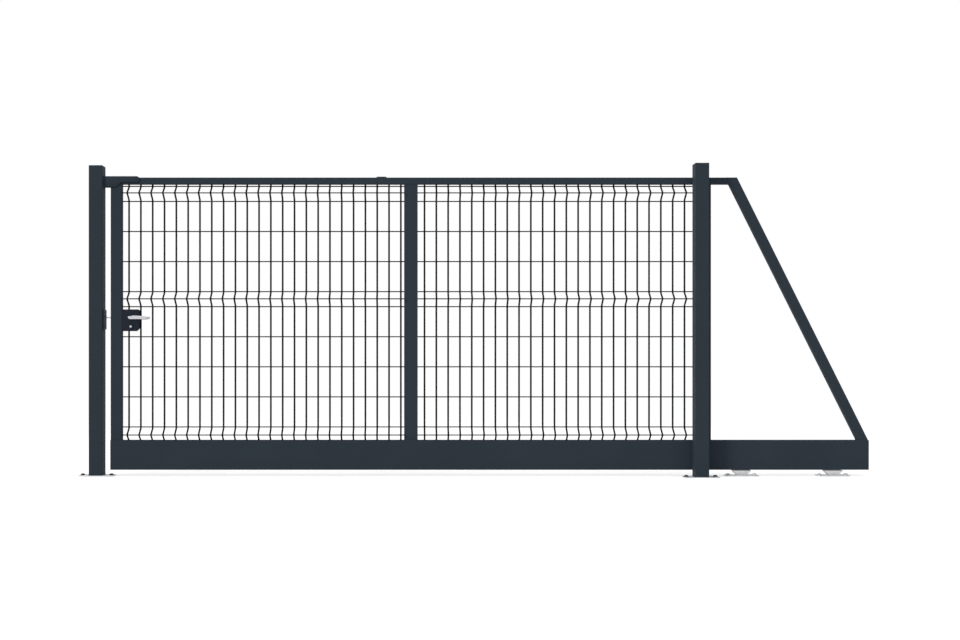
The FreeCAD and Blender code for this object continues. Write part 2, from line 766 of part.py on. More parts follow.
def mesh(name, first_wire, start, end, gaps=()):
    """One bay of mesh, trimmed on the rail and around what stands in its plane."""
    body = doc.addObject("PartDesign::Body", name)
    path = new_sketch(body, name + "_path", "YZ_Plane")
    outline(path, WIRE_PATH, closed=False)
    section = new_sketch(body, name + "_section", "XY_Plane")
    flat = "mesh_plane - %s / 2" % UPRIGHT_EDGE
    outline(section, [
        ("upright_wire / 2", flat),
        ("0", "mesh_plane + " + UPRIGHT_EDGE),
        ("-upright_wire / 2", flat),
    ])
    bind(section, AttachmentOffset__Base__z=TOP_RAIL_BOTTOM)
    wire = body.newObject("PartDesign::AdditivePipe", name + "_wire")
    wire.Profile = section
    wire.Spine = (path, [])
    wire.Transition = "Right corner"
    wire.Refine = False
    doc.recompute()
    pattern = body.newObject("PartDesign::LinearPattern", name + "_wires")
    pattern.Originals = [wire]
    pattern.Direction = (next(part for part in body.Origin.OriginFeatures if part.Role == "X_Axis"), [""])
    pattern.Refine = False
    bind(pattern, Length="mesh_pitch * (wire_count - 1)", Occurrences="wire_count")
    body.Tip = pattern
    doc.recompute()
    rows = new_sketch(body, name + "_row_sections", "YZ_Plane")
    for across, up in row_centres():
        flat = "%s + %s / 2" % (across, ROW_EDGE)
        outline(rows, [
            ("%s - %s" % (across, ROW_EDGE), up),
            (flat, up + " + row_wire / 2"),
            (flat, up + " - row_wire / 2"),
        ])
    bind(rows, AttachmentOffset__Base__z="%s - (%s)" % (start, first_wire))
    row_pad = pad(body, name + "_rows", rows, "%s - (%s)" % (end, start))
    body.Tip = row_pad
    foot = rectangle("-mesh_pitch", "wire_count * mesh_pitch", RAIL_TOP + " - 2 * wire_trim", RAIL_TOP)
    pocket(body, name + "_trim", "XZ_Plane", [foot] + list(gaps))
    place(body, x=first_wire)
    return keep(body, name)


UPRIGHT_END = "upright_start + upright_width"
LOCK_GAP = rectangle(LOCK_START + " - mesh_first_wire - wire_trim", LOCK_END + " - mesh_first_wire",
                     LOCK_BOTTOM, LOCK_TOP)
REAR_BAY_WIRE = "mesh_first_wire + (wire_count + 1) * mesh_pitch"
mesh("left_mesh", "mesh_first_wire", LOCK_START, "upright_start", [LOCK_GAP])
mesh("right_mesh", REAR_BAY_WIRE, UPRIGHT_END, "rear_stile_end - stile_width")

doc.recompute()
for thing in doc.Objects:
    if "Invalid" in thing.State or "Error" in thing.State:
        raise RuntimeError("not built: " + thing.Name)
os.makedirs("parts", exist_ok=True)
for node in nodes:
    if node.Shape.isNull() or not node.Shape.isValid():
        raise RuntimeError("not a sound solid: " + node.Label)
    node.Shape.exportStep("parts/%s.step" % node.Label)
    print(node.Label, len(node.Shape.Solids), round(node.Shape.Volume))
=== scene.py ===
import json
import math

import bpy
from mathutils import Matrix, Vector


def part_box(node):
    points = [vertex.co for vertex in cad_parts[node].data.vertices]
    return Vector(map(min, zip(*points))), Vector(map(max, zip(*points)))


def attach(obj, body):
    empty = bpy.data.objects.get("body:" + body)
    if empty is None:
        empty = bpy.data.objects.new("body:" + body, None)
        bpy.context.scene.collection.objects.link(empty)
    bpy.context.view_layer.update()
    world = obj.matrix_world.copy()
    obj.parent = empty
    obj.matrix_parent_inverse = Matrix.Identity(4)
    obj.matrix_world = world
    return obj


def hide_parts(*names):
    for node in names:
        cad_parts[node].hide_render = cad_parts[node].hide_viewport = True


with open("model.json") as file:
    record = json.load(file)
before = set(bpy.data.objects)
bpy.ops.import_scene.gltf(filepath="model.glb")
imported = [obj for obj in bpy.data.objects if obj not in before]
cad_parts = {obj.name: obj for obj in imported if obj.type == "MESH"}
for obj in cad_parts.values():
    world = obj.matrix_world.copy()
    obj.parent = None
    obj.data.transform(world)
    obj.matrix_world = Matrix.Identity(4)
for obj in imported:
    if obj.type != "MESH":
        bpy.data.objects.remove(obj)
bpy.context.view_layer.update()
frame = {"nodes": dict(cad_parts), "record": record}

# Sliding driveway gate, in metres: X from the catch post to the leaf's tail, Y to the back, Z up

SCENE = bpy.context.scene

# Camera: square to the gate, low, and left of the picture's middle
CAMERA_DISTANCE = 8.0
CAMERA_X = 2.0562
CAMERA_Z = 0.8348
METRES_PER_PIXEL = 0.00662
PICTURE_WIDTH = 960
PICTURE_HEIGHT = 640
PRINCIPAL_X = 407
PRINCIPAL_Y = 350
SENSOR_WIDTH = 36.0

# Light and floor
SKY_LIGHT = 0.46
FLOOR_WHITE = 0.85
FLOOR_GLOW = 0.52
FLOOR_SIZE = 24.0
FLOOR_FADE_START = 4.0
FLOOR_FADE_END = 8.0
FLOOR_DROP = 0.0003
OVERHEAD_POWER = 150.0
OVERHEAD_SIZE = (9.0, 5.0)
OVERHEAD_PLACE = (2.5, -1.0, 6.0)
KEY_STRENGTH = 1.3
KEY_SOFTNESS = math.radians(12)
KEY_DIRECTION = (8.5, 5.9, -4.0)

# Finishes: height of the patterns, size of the soft clouds, direction of the brushing
RELIEF = 0.0002
CLOUD_SCALE = 3.0
CLOUD_DETAIL = 4.0
BRUSHED_ALONG_X = (0.05, 1.0, 1.0)

# Folded mesh: upright wires with three folds, straight wires across them, plain rows below each fold
WIRE_PITCH = 0.07854
WIRE_COUNT = 24
FIRST_WIRE_X = 0.209
MESH_PLANE_Y = 0.012
FOLD_DEPTH = 0.058
FOLD_HALF = 0.050
ROW_TO_BEND = 0.008
TOP_ROW_DROP = 0.010
LOW_APEX_LIFT = 0.035
PLAIN_ROWS = (2, 3, 0)
UPRIGHT_WIRE = 0.012
ROW_WIRE = 0.0075
WELD_DEPTH = 0.002
BEND_OFFSET = 0.007
BEND_STEPS = 3
WIRE_ROUNDNESS = 2
WIRE_SMOOTH_ANGLE = math.radians(50)
WIRE_MERGE_SHARE = 0.01

# Bolts and screws: radii, and the other sizes as shares of the radius
ANCHOR_RADIUS = 0.0125
BRACKET_BOLT_RADIUS = 0.0075
LOCK_SCREW_RADIUS = 0.004
HEAD_HEIGHT_SHARE = 0.56
HEAD_CHAMFER_SHARE = 0.2
HEAD_TOP_SHARE = 0.8
WASHER_RADIUS_SHARE = 1.2
WASHER_HEIGHT_SHARE = 0.2
WASHER_EDGE_SHARE = 0.06
SCREW_HEIGHT_SHARE = 0.5
SOCKET_RIM_SHARE = 0.45
SOCKET_DEPTH_SHARE = 0.3

# Sides of turned pieces, and the least upward normal of a top face
HEX_SIDES = 6
ROUND_SIDES = 24
FINE_SIDES = 48
LOOKS_UP = 0.9

# Places of the bolts along the guide bracket, and the unit of the record's bolt patterns
FLANGE_BOLT_SHARES = (0.25, 0.75)
MILLIMETRE = 0.001

# Weld beads where steel pieces meet
BEAD_RADIUS = 0.0025
POST_BEAD_RADIUS = 0.003
BEAD_BEND = 0.004

# Sizes of the solids that the details are set on
BRACKET_THICKNESS = 0.008
BRACE_SLICE = 0.073

# Lock details
ROSE_BORE = 0.0085
ROSE_RADIUS = 0.0215
ROSE_HEIGHT = 0.005
ROSE_ROUNDING = 0.0015
COLLAR_RADIUS = 0.0115
COLLAR_HEIGHT = 0.002
LOCK_SCREW_INSET = 0.011
KEEP_SCREW_INSET = 0.024
# Each keyhole is a dark strip of painted shade standing in for its recess: half its length, its radius, and
# how far it stands proud.
KEYHOLE_SHADE_HALF = 0.004
KEYHOLE_SHADE_RADIUS = 0.0018
KEYHOLE_SHADE_PROUD = 0.0002
COVER_RADIUS = 0.0115
COVER_STRAIGHT = 0.008
COVER_LIP = 0.0006
WINDOW_RADIUS = 0.0072

# Edges of the pieces that are cut from plate, cast or moulded
SOFT_EDGE = 0.0008
SOFT_STEPS = 2
SHARP_ANGLE = math.radians(30)
FLAT_ANGLE = math.radians(1)
SAME_POINT = 0.00001


def corner(node, high):
    """The high or low corner of a node's box."""
    return Vector(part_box(node)[1 if high else 0])


RAIL_TOP_Z = corner("bottom_rail", True).z
TOP_RAIL_BOTTOM_Z = corner("top_rail", False).z
TOP_ROW_Z = TOP_RAIL_BOTTOM_Z - TOP_ROW_DROP
LOW_FOLD_Z = RAIL_TOP_Z + LOW_APEX_LIFT + FOLD_HALF
PITCH_COUNT = sum(PLAIN_ROWS) + len(PLAIN_ROWS) - 1
ROW_PITCH = (TOP_ROW_Z - LOW_FOLD_Z - 2 * FOLD_HALF * (len(PLAIN_ROWS) - 1)) / PITCH_COUNT
SUBPARTS = frame["record"]["subparts"]
BODIES = frame["record"]["behaviour"]["bodies"]


# Camera, light and floor

def add_camera():
    """The photograph's view: square on, with the lens shifted to frame the gate."""
    data = bpy.data.cameras.new("camera")
    camera = bpy.data.objects.new("camera", data)
    SCENE.collection.objects.link(camera)
    data.sensor_width = SENSOR_WIDTH
    data.lens = CAMERA_DISTANCE / METRES_PER_PIXEL / PICTURE_WIDTH * SENSOR_WIDTH
    data.shift_x = (PICTURE_WIDTH / 2 - PRINCIPAL_X) / PICTURE_WIDTH
    data.shift_y = (PRINCIPAL_Y - PICTURE_HEIGHT / 2) / PICTURE_WIDTH
    leaf_front_y = corner("front_stile", False).y
    camera.location = (CAMERA_X, leaf_front_y - CAMERA_DISTANCE, CAMERA_Z)
    camera.rotation_euler = (math.radians(90), 0, 0)
    SCENE.camera = camera


def add_key():
    """Soft sunlight from the front left, the same along the whole gate."""
    data = bpy.data.lights.new("key", "SUN")
    data.energy = KEY_STRENGTH
    data.angle = KEY_SOFTNESS
    light = bpy.data.objects.new("key", data)
    SCENE.collection.objects.link(light)
    light.rotation_euler = Vector(KEY_DIRECTION).to_track_quat("-Z", "Y").to_euler()


def add_overhead():
    """A wide soft lamp above the gate, shining straight down."""
    data = bpy.data.lights.new("overhead", "AREA")
    data.shape = "RECTANGLE"
    data.size, data.size_y = OVERHEAD_SIZE
    data.energy = OVERHEAD_POWER
    light = bpy.data.objects.new("overhead", data)
    SCENE.collection.objects.link(light)
    light.location = OVERHEAD_PLACE


def seen_directly(tree):
    """1 for rays that show the background itself or its mirror image, 0 for those that light the object."""
    path = tree.nodes.new("ShaderNodeLightPath")
    seen = path.outputs["Is Camera Ray"]
    for ray in ("Is Glossy Ray", "Is Transmission Ray"):
        either = tree.nodes.new("ShaderNodeMath")
        either.operation = "MAXIMUM"
        tree.links.new(seen, either.inputs[0])
        tree.links.new(path.outputs[ray], either.inputs[1])
        seen = either.outputs[0]
    return seen


def add_sky():
    """Plain white behind the object, and a softer light on it."""
    world = bpy.data.worlds.new("studio")
    world.use_nodes = True
    tree = world.node_tree
    background = tree.nodes["Background"]
    background.inputs["Color"].default_value = (1.0, 1.0, 1.0, 1.0)
    strength = tree.nodes.new("ShaderNodeMapRange")
    strength.inputs["To Min"].default_value = SKY_LIGHT
    tree.links.new(seen_directly(tree), strength.inputs["Value"])
    tree.links.new(strength.outputs["Result"], background.inputs["Strength"])
    SCENE.world = world


def floor_fade(tree):
    """1 around the gate, falling to 0 far from it, so that the floor ends without a line."""
    place = tree.nodes.new("ShaderNodeTexCoord")
    distance = tree.nodes.new("ShaderNodeVectorMath")
    distance.operation = "DISTANCE"
    distance.inputs[1].default_value = (CAMERA_X, 0, -FLOOR_DROP)
    tree.links.new(place.outputs["Object"], distance.inputs[0])
    fade = tree.nodes.new("ShaderNodeMapRange")
    fade.interpolation_type = "SMOOTHSTEP"
    fade.inputs["From Min"].default_value = FLOOR_FADE_START
    fade.inputs["From Max"].default_value = FLOOR_FADE_END
    fade.inputs["To Min"].default_value = 1.0
    fade.inputs["To Max"].default_value = 0.0
    tree.links.new(distance.outputs["Value"], fade.inputs["Value"])
    return fade.outputs["Result"]


def add_floor():
    """A white floor that looks as bright as the background but keeps the gate's shadow."""
    bpy.ops.object.select_all(action="DESELECT")
    bpy.ops.mesh.primitive_plane_add(size=FLOOR_SIZE, location=(CAMERA_X, 0, -FLOOR_DROP))
    floor = bpy.context.object
    floor.name = "floor"
    bpy.ops.object.transform_apply(location=True, rotation=True, scale=True)
    material = bpy.data.materials.new("floor_white")
    material.use_nodes = True
    tree = material.node_tree
    shader = tree.nodes["Principled BSDF"]
    shader.inputs["Base Color"].default_value = (FLOOR_WHITE, FLOOR_WHITE, FLOOR_WHITE, 1.0)
    shader.inputs["Roughness"].default_value = 1.0
    shader.inputs["Specular IOR Level"].default_value = 0.0
    shader.inputs["Emission Color"].default_value = (1.0, 1.0, 1.0, 1.0)
    glow = tree.nodes.new("ShaderNodeMath")
    glow.operation = "MULTIPLY"
    glow.inputs[1].default_value = FLOOR_GLOW
    tree.links.new(seen_directly(tree), glow.inputs[0])
    tree.links.new(glow.outputs[0], shader.inputs["Emission Strength"])
    tree.links.new(floor_fade(tree), shader.inputs["Alpha"])
    floor.data.materials.append(material)


# Finishes

def new_group(name, inputs, outputs):
    """A shader group with named sockets, and its two ends."""
    group = bpy.data.node_groups.new(name, "ShaderNodeTree")
    for label, kind, value in inputs:
        group.interface.new_socket(label, in_out="INPUT", socket_type=kind).default_value = value
    for label, kind in outputs:
        group.interface.new_socket(label, in_out="OUTPUT", socket_type=kind)
    return group, group.nodes.new("NodeGroupInput"), group.nodes.new("NodeGroupOutput")


COATING_INPUTS = [
    ("Colour", "NodeSocketColor", (0.03, 0.04, 0.05, 1.0)),
    ("Roughness", "NodeSocketFloat", 0.5),
    ("Pattern Size", "NodeSocketFloat", 0.002),
    ("Pattern Depth", "NodeSocketFloat", 0.1),
    ("Cloudiness", "NodeSocketFloat", 0.1),
]
COATING_OUTPUTS = [
    ("Colour", "NodeSocketColor"),
    ("Roughness", "NodeSocketFloat"),
    ("Height", "NodeSocketFloat"),
]


def worked_out(group, operation, first, second):
    """The result of an operation on two values or sockets."""
    node = group.nodes.new("ShaderNodeMath")
    node.operation = operation
    for socket, value in zip(node.inputs, (first, second)):
        if isinstance(value, bpy.types.NodeSocket):
            group.links.new(value, socket)
        else:
            socket.default_value = value
    return node.outputs[0]


def around_one(group, value, depth):
    """Map a 0 to 1 pattern to a factor that swings by a depth to both sides of 1."""
    node = group.nodes.new("ShaderNodeMapRange")
    group.links.new(value, node.inputs["Value"])
    group.links.new(worked_out(group, "SUBTRACT", 1.0, depth), node.inputs["To Min"])
    group.links.new(worked_out(group, "ADD", 1.0, depth), node.inputs["To Max"])
    return node.outputs["Result"]


def shaded(group, colour, factor):
    """A colour made darker or lighter by a factor."""
    node = group.nodes.new("ShaderNodeVectorMath")
    node.operation = "SCALE"
    group.links.new(colour, node.inputs[0])
    group.links.new(factor, node.inputs["Scale"])
    return node.outputs[0]


def coating_group(name, pattern_kind, stretch=(1.0, 1.0, 1.0)):
    """A surface finish: a fine pattern in gloss and height, and soft clouds in colour."""
    group, entry, leave = new_group(name, COATING_INPUTS, COATING_OUTPUTS)
    place = group.nodes.new("ShaderNodeTexCoord").outputs["Object"]
    mapping = group.nodes.new("ShaderNodeMapping")
    mapping.inputs["Scale"].default_value = stretch
    group.links.new(place, mapping.inputs["Vector"])
    pattern = group.nodes.new(pattern_kind)
    group.links.new(mapping.outputs["Vector"], pattern.inputs["Vector"])
    repeats = worked_out(group, "DIVIDE", 1.0, entry.outputs["Pattern Size"])
    group.links.new(repeats, pattern.inputs["Scale"])
    cloud = group.nodes.new("ShaderNodeTexNoise")
    cloud.inputs["Scale"].default_value = CLOUD_SCALE
    cloud.inputs["Detail"].default_value = CLOUD_DETAIL
    group.links.new(place, cloud.inputs["Vector"])
    tone = around_one(group, pattern.outputs["Color"], entry.outputs["Pattern Depth"])
    mood = around_one(group, cloud.outputs["Fac"], entry.outputs["Cloudiness"])
    factor = worked_out(group, "MULTIPLY", tone, mood)
    roughness = worked_out(group, "MULTIPLY", entry.outputs["Roughness"], factor)
    group.links.new(shaded(group, entry.outputs["Colour"], factor), leave.inputs["Colour"])
    group.links.new(roughness, leave.inputs["Roughness"])
    group.links.new(pattern.outputs["Color"], leave.inputs["Height"])
    return group


def new_finish(name, group, colour, roughness, size, depth, cloudiness, metallic=0.0, specular=0.5):
    """A material whose colour, gloss and fine relief come from one of the coatings."""
    material = bpy.data.materials.new(name)
    material.use_nodes = True
    tree = material.node_tree
    shader = tree.nodes["Principled BSDF"]
    coating = tree.nodes.new("ShaderNodeGroup")
    coating.node_tree = group
    coating.inputs["Colour"].default_value = (*colour, 1.0)
    coating.inputs["Roughness"].default_value = roughness
    coating.inputs["Pattern Size"].default_value = size
    coating.inputs["Pattern Depth"].default_value = depth
    coating.inputs["Cloudiness"].default_value = cloudiness
    bump = tree.nodes.new("ShaderNodeBump")
    bump.inputs["Distance"].default_value = RELIEF
    tree.links.new(coating.outputs["Height"], bump.inputs["Height"])
    tree.links.new(coating.outputs["Colour"], shader.inputs["Base Color"])
    tree.links.new(coating.outputs["Roughness"], shader.inputs["Roughness"])
    tree.links.new(bump.outputs["Normal"], shader.inputs["Normal"])
    shader.inputs["Metallic"].default_value = metallic
    shader.inputs["Specular IOR Level"].default_value = specular
    return material


GRAIN = coating_group("powder_grain", "ShaderNodeTexNoise")
SPANGLE = coating_group("zinc_spangle", "ShaderNodeTexVoronoi")
BRUSHED = coating_group("brushed_metal", "ShaderNodeTexNoise", BRUSHED_ALONG_X)

ANTHRACITE = dict(group=GRAIN, colour=(0.0315, 0.0425, 0.0555), roughness=0.62, size=0.0016, depth=0.08,
                  cloudiness=0.10, specular=0.05)
LOOKS = {
    "post_paint": ANTHRACITE,
    "frame_paint": ANTHRACITE,
    # The wires' near-black colour, darker than the frame's anthracite, is painted shade: it makes the thin
    # round wires look dark in spite of the white their sides reflect.
    "mesh_paint": dict(group=GRAIN, colour=(0.009, 0.011, 0.014), roughness=0.6, size=0.0016, depth=0.08,
                       cloudiness=0.10, specular=0.04),
    "cap_plastic": dict(group=GRAIN, colour=(0.022, 0.030, 0.040), roughness=0.6, size=0.0008, depth=0.10,
                        cloudiness=0.05, specular=0.15),
    "galvanised": dict(group=SPANGLE, colour=(0.68, 0.69, 0.70), roughness=0.5, size=0.012, depth=0.08,
                       cloudiness=0.06, metallic=0.4),
    "lock_black": dict(group=GRAIN, colour=(0.0216, 0.0267, 0.0383), roughness=0.5, size=0.0010, depth=0.08,
                       cloudiness=0.05, specular=0.04),
    "silver": dict(group=BRUSHED, colour=(0.61, 0.61, 0.64), roughness=0.3, size=0.0012, depth=0.06,
                   cloudiness=0.03, metallic=0.8),
    "roller_nylon": dict(group=GRAIN, colour=(0.03, 0.03, 0.032), roughness=0.5, size=0.0010, depth=0.10,
                         cloudiness=0.08, specular=0.3),
}
FINISHES = {slot: new_finish(slot, **look) for slot, look in LOOKS.items()}


def dress(piece, slot):
    """Give a piece the finish of a material slot."""
    piece.data.materials.clear()
    piece.data.materials.append(FINISHES[slot])


def fit(piece, body, slot):
    """Finish a new piece and let it move with its body."""
    dress(piece, slot)
    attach(piece, body)


# Shared ways of making pieces

def settle():
    """Leave edit mode and put the active piece's place into its mesh."""
    bpy.ops.object.mode_set(mode="OBJECT")
    bpy.ops.object.transform_apply(location=True, rotation=True, scale=True)
    return bpy.context.object


def select_only(piece):
    """Select one piece and make it active."""
    bpy.ops.object.select_all(action="DESELECT")
    piece.select_set(True)
    bpy.context.view_layer.objects.active = piece


def bent_wire(name, corners, radius, bend=0.0, closed=False):
    """A round wire run through corners, its bends rounded and its ends closed."""
    bpy.ops.object.select_all(action="DESELECT")
    bpy.ops.mesh.primitive_plane_add(size=radius, location=corners[0])
    wire = bpy.context.object
    wire.name = name
    bpy.ops.object.mode_set(mode="EDIT")
    bpy.ops.mesh.select_mode(type="VERT")
    bpy.ops.mesh.merge(type="CENTER")
    for here, there in zip(corners, corners[1:]):
        bpy.ops.mesh.extrude_region_move(TRANSFORM_OT_translate={"value": Vector(there) - Vector(here)})
    bpy.ops.mesh.select_all(action="SELECT")
    if closed:
        bpy.ops.mesh.edge_face_add()
        bpy.ops.mesh.delete(type="ONLY_FACE")
        bpy.ops.mesh.select_all(action="SELECT")
    if bend:
        bpy.ops.mesh.bevel(offset=bend, segments=BEND_STEPS, affect="VERTICES")
    bpy.ops.object.mode_set(mode="OBJECT")
    bpy.ops.object.convert(target="CURVE")
    wire.data.bevel_depth = radius
    wire.data.bevel_resolution = WIRE_ROUNDNESS
    wire.data.use_fill_caps = True
    bpy.ops.object.convert(target="MESH")
    bpy.ops.object.mode_set(mode="EDIT")
    bpy.ops.mesh.select_all(action="SELECT")
    bpy.ops.mesh.remove_doubles(threshold=WIRE_MERGE_SHARE * radius)
    bpy.ops.mesh.normals_make_consistent(inside=False)
    settle()
    bpy.ops.object.shade_smooth_by_angle(angle=WIRE_SMOOTH_ANGLE)
    return wire


def trimmed(piece, height, keep_above):
    """Cut a piece level at a height and close the cut."""
    select_only(piece)
    bpy.ops.object.mode_set(mode="EDIT")
    bpy.ops.mesh.select_all(action="SELECT")
    bpy.ops.mesh.bisect(plane_co=(0, 0, height), plane_no=(0, 0, 1), use_fill=True,
                        clear_inner=keep_above, clear_outer=not keep_above)
    bpy.ops.object.mode_set(mode="OBJECT")
    return piece


def round_edges(piece):
    """Round the sharp edges of the selected piece."""
    bevel = piece.modifiers.new("soft_edges", "BEVEL")
    bevel.width = SOFT_EDGE
    bevel.segments = SOFT_STEPS
    bevel.limit_method = "ANGLE"
    bevel.angle_limit = SHARP_ANGLE
    bpy.ops.object.modifier_apply(modifier="soft_edges")
    bpy.ops.object.shade_smooth_by_angle(angle=SHARP_ANGLE)


def copied(piece, name, place=(0, 0, 0), up=(0, 0, 1)):
    """A copy of a piece, moved to a place, with its top turned to face a direction."""
    turn = Vector((0, 0, 1)).rotation_difference(Vector(up)).to_matrix().to_4x4()
    twin = bpy.data.objects.new(name, piece.data.copy())
    twin.data.transform(Matrix.Translation(place) @ turn)
    SCENE.collection.objects.link(twin)
    return twin


def joined(name, pieces):
    """Several pieces made into one."""
    bpy.ops.object.select_all(action="DESELECT")
    for piece in pieces:
        piece.select_set(True)
    bpy.context.view_layer.objects.active = pieces[0]
    bpy.ops.object.join()
    pieces[0].name = name
    return pieces[0]


# Folded mesh

def fold_heights():
    """Heights of the rows on the folds' upper edges."""
    heights = [TOP_ROW_Z]
    for plain in PLAIN_ROWS[:-1]:
        heights.append(heights[-1] - 2 * FOLD_HALF - (plain + 1) * ROW_PITCH)
    return heights


def wire_corners(x):
    """The bends of one upright wire, from the top rail down into the bottom rail."""
    corners = [(x, MESH_PLANE_Y, TOP_RAIL_BOTTOM_Z)]
    for fold in fold_heights():
        corners.append((x, MESH_PLANE_Y, fold - ROW_TO_BEND))
        corners.append((x, MESH_PLANE_Y - FOLD_DEPTH, fold - FOLD_HALF))
        corners.append((x, MESH_PLANE_Y, fold - 2 * FOLD_HALF + ROW_TO_BEND))
    return corners


def row_places():
    """Middles of the straight wires, at the folds' edges and apexes and evenly between the folds."""
    half_angle = math.atan2(FOLD_HALF - ROW_TO_BEND, FOLD_DEPTH)
    rounding = BEND_OFFSET * (1 / math.cos(half_angle) - math.tan(half_angle))
    reach = (UPRIGHT_WIRE + ROW_WIRE) / 2 - WELD_DEPTH
    back = MESH_PLANE_Y + reach
    places = []
    for fold, plain in zip(fold_heights(), PLAIN_ROWS):
        low_edge = fold - 2 * FOLD_HALF
        places.append((back, fold))
        places.append((back - FOLD_DEPTH + rounding, fold - FOLD_HALF))
        places += [(back, low_edge - step * ROW_PITCH) for step in range(plain + 1)]
    return [place for place in places if place[1] > RAIL_TOP_Z]


def lock_trimmed(wire):
    """The two lengths of a wire that are left above and below the lock box."""
    low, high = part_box("lock_box")
    upper = copied(wire, "upper_length")
    trimmed(upper, high[2], keep_above=True)
    return [upper, trimmed(wire, low[2], keep_above=False)]


def repeated(piece, count, pitch):
    """A row of copies of a piece along X, in one mesh."""
    select_only(piece)
    row = piece.modifiers.new("row", "ARRAY")
    row.count = count
    row.use_relative_offset = False
    row.use_constant_offset = True
    row.constant_offset_displace = (pitch, 0, 0)
    bpy.ops.object.modifier_apply(modifier="row")
    return piece


def mesh_bay(node, first_wire, start, end, past_lock):
    """One bay of folded mesh between two uprights. Past the lock, its first wire is cut in two."""
    wire = trimmed(bent_wire("upright_wire", wire_corners(first_wire), UPRIGHT_WIRE / 2, BEND_OFFSET),
                   RAIL_TOP_Z, keep_above=True)
    pieces = []
    whole_wires = WIRE_COUNT
    if past_lock:
        pieces += lock_trimmed(copied(wire, "wire_at_lock"))
        wire.data.transform(Matrix.Translation((WIRE_PITCH, 0, 0)))
        whole_wires -= 1
    pieces.append(repeated(wire, whole_wires, WIRE_PITCH))
    row = bent_wire("row_wire", [(start, 0, 0), (end, 0, 0)], ROW_WIRE / 2)
    pieces += [copied(row, "row_wire", (0, y, z)) for y, z in row_places()]
    bpy.data.objects.remove(row)
    bay = joined(node + "_wires", pieces)
    # The wires take the near-black finish whose extra darkness is painted shade.
    fit(bay, "leaf", "mesh_paint")
    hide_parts(node)


def add_mesh():
    """The two bays, the left one cut around the lock, with one wire's place left out between them."""
    start = corner("front_stile", True).x
    middle = corner("centre_upright", False).x
    beyond = corner("centre_upright", True).x
    end = corner("rear_stile", False).x
    mesh_bay("left_mesh", FIRST_WIRE_X, start, middle, past_lock=True)
    mesh_bay("right_mesh", FIRST_WIRE_X + (WIRE_COUNT + 1) * WIRE_PITCH, beyond, end, past_lock=False)


# Bolts and screws

def new_disc(name, sides, radius, height, base=0.0):
    """A plain disc that stands at a height above z = 0, left selected."""
    bpy.ops.object.select_all(action="DESELECT")
    bpy.ops.mesh.primitive_cylinder_add(vertices=sides, radius=radius, depth=height,
                                        location=(0, 0, base + height / 2))
    bpy.context.object.name = name
    return bpy.context.object


def edit_top(piece):
    """Enter edit mode with only the faces that look up selected."""
    bpy.ops.object.transform_apply(location=True, rotation=True, scale=True)
    bpy.ops.object.mode_set(mode="EDIT")
    bpy.ops.mesh.select_mode(type="FACE")
    bpy.ops.mesh.select_all(action="DESELECT")
    bpy.ops.object.mode_set(mode="OBJECT")
    for face in piece.data.polygons:
        face.select = face.normal.z > LOOKS_UP
    bpy.ops.object.mode_set(mode="EDIT")


def hex_bolt(radius):
    """A hexagon-headed bolt on its washer, standing on z = 0."""
    washer_height = WASHER_HEIGHT_SHARE * radius
    washer = new_disc("washer", ROUND_SIDES, WASHER_RADIUS_SHARE * radius, washer_height)
    edit_top(washer)
    bpy.ops.mesh.bevel(offset=WASHER_EDGE_SHARE * radius, segments=1)
    settle()
    chamfer = HEAD_CHAMFER_SHARE * radius
    head = new_disc("head", HEX_SIDES, radius, HEAD_HEIGHT_SHARE * radius - chamfer, washer_height)
    edit_top(head)
    bpy.ops.mesh.extrude_region_move(TRANSFORM_OT_translate={"value": (0, 0, chamfer)})
    bpy.ops.transform.resize(value=(HEAD_TOP_SHARE, HEAD_TOP_SHARE, 1))
    settle()
    return joined("hex_bolt", [head, washer])


def socket_screw(radius):
    """A low round-headed screw with a socket, standing on z = 0."""
    screw = new_disc("socket_screw", ROUND_SIDES, radius, SCREW_HEIGHT_SHARE * radius)
    edit_top(screw)
    bpy.ops.mesh.inset(thickness=SOCKET_RIM_SHARE * radius)
    bpy.ops.mesh.extrude_region_move(TRANSFORM_OT_translate={"value": (0, 0, -SOCKET_DEPTH_SHARE * radius)})
    return settle()


def add_anchors():
    """Bolts in the two holes of each base plate, placed by the record's bolt patterns."""
    bolt = hex_bolt(ANCHOR_RADIUS)
    plates = {"catch_post": "post_paint", "guide_post": "post_paint",
              "front_carriage": "galvanised", "rear_carriage": "galvanised"}
    patterns = {mount["name"]: mount for mount in frame["record"]["mounts"]}
    for plate, slot in plates.items():
        pattern = patterns[plate + "_anchors"]
        middle = Vector(pattern["pos_m"])
        middle.z = corner(plate + "_plate", True).z
        half_x = pattern["dims"]["spacing_x_mm"] * MILLIMETRE / 2
        for side, offset in (("front", -half_x), ("rear", half_x)):
            place = middle + Vector((offset, 0, 0))
            fit(copied(bolt, "%s_%s_anchor" % (plate, side), place), "base", slot)
    bpy.data.objects.remove(bolt)


def add_bracket_bolts():
    """Bolts through the guide bracket: two into the post, one down each roller."""
    bolt = hex_bolt(BRACKET_BOLT_RADIUS)
    low, high = corner("guide_bracket", False), corner("guide_bracket", True)
    flange_face = corner("guide_post", True).y + BRACKET_THICKNESS
    for side, share in zip(("left", "right"), FLANGE_BOLT_SHARES):
        place = (low.x + share * (high.x - low.x), flange_face, (low.z + high.z) / 2 + BRACKET_THICKNESS)
        fit(copied(bolt, "bracket_%s_bolt" % side, place, (0, 1, 0)), "base", "galvanised")
    for node in ("front_guide_roller", "rear_guide_roller"):
        middle = (corner(node, False) + corner(node, True)) / 2
        place = (middle.x, middle.y, low.z + BRACKET_THICKNESS)
        fit(copied(bolt, node + "_bolt", place), "base", "galvanised")
    bpy.data.objects.remove(bolt)


# Lock details

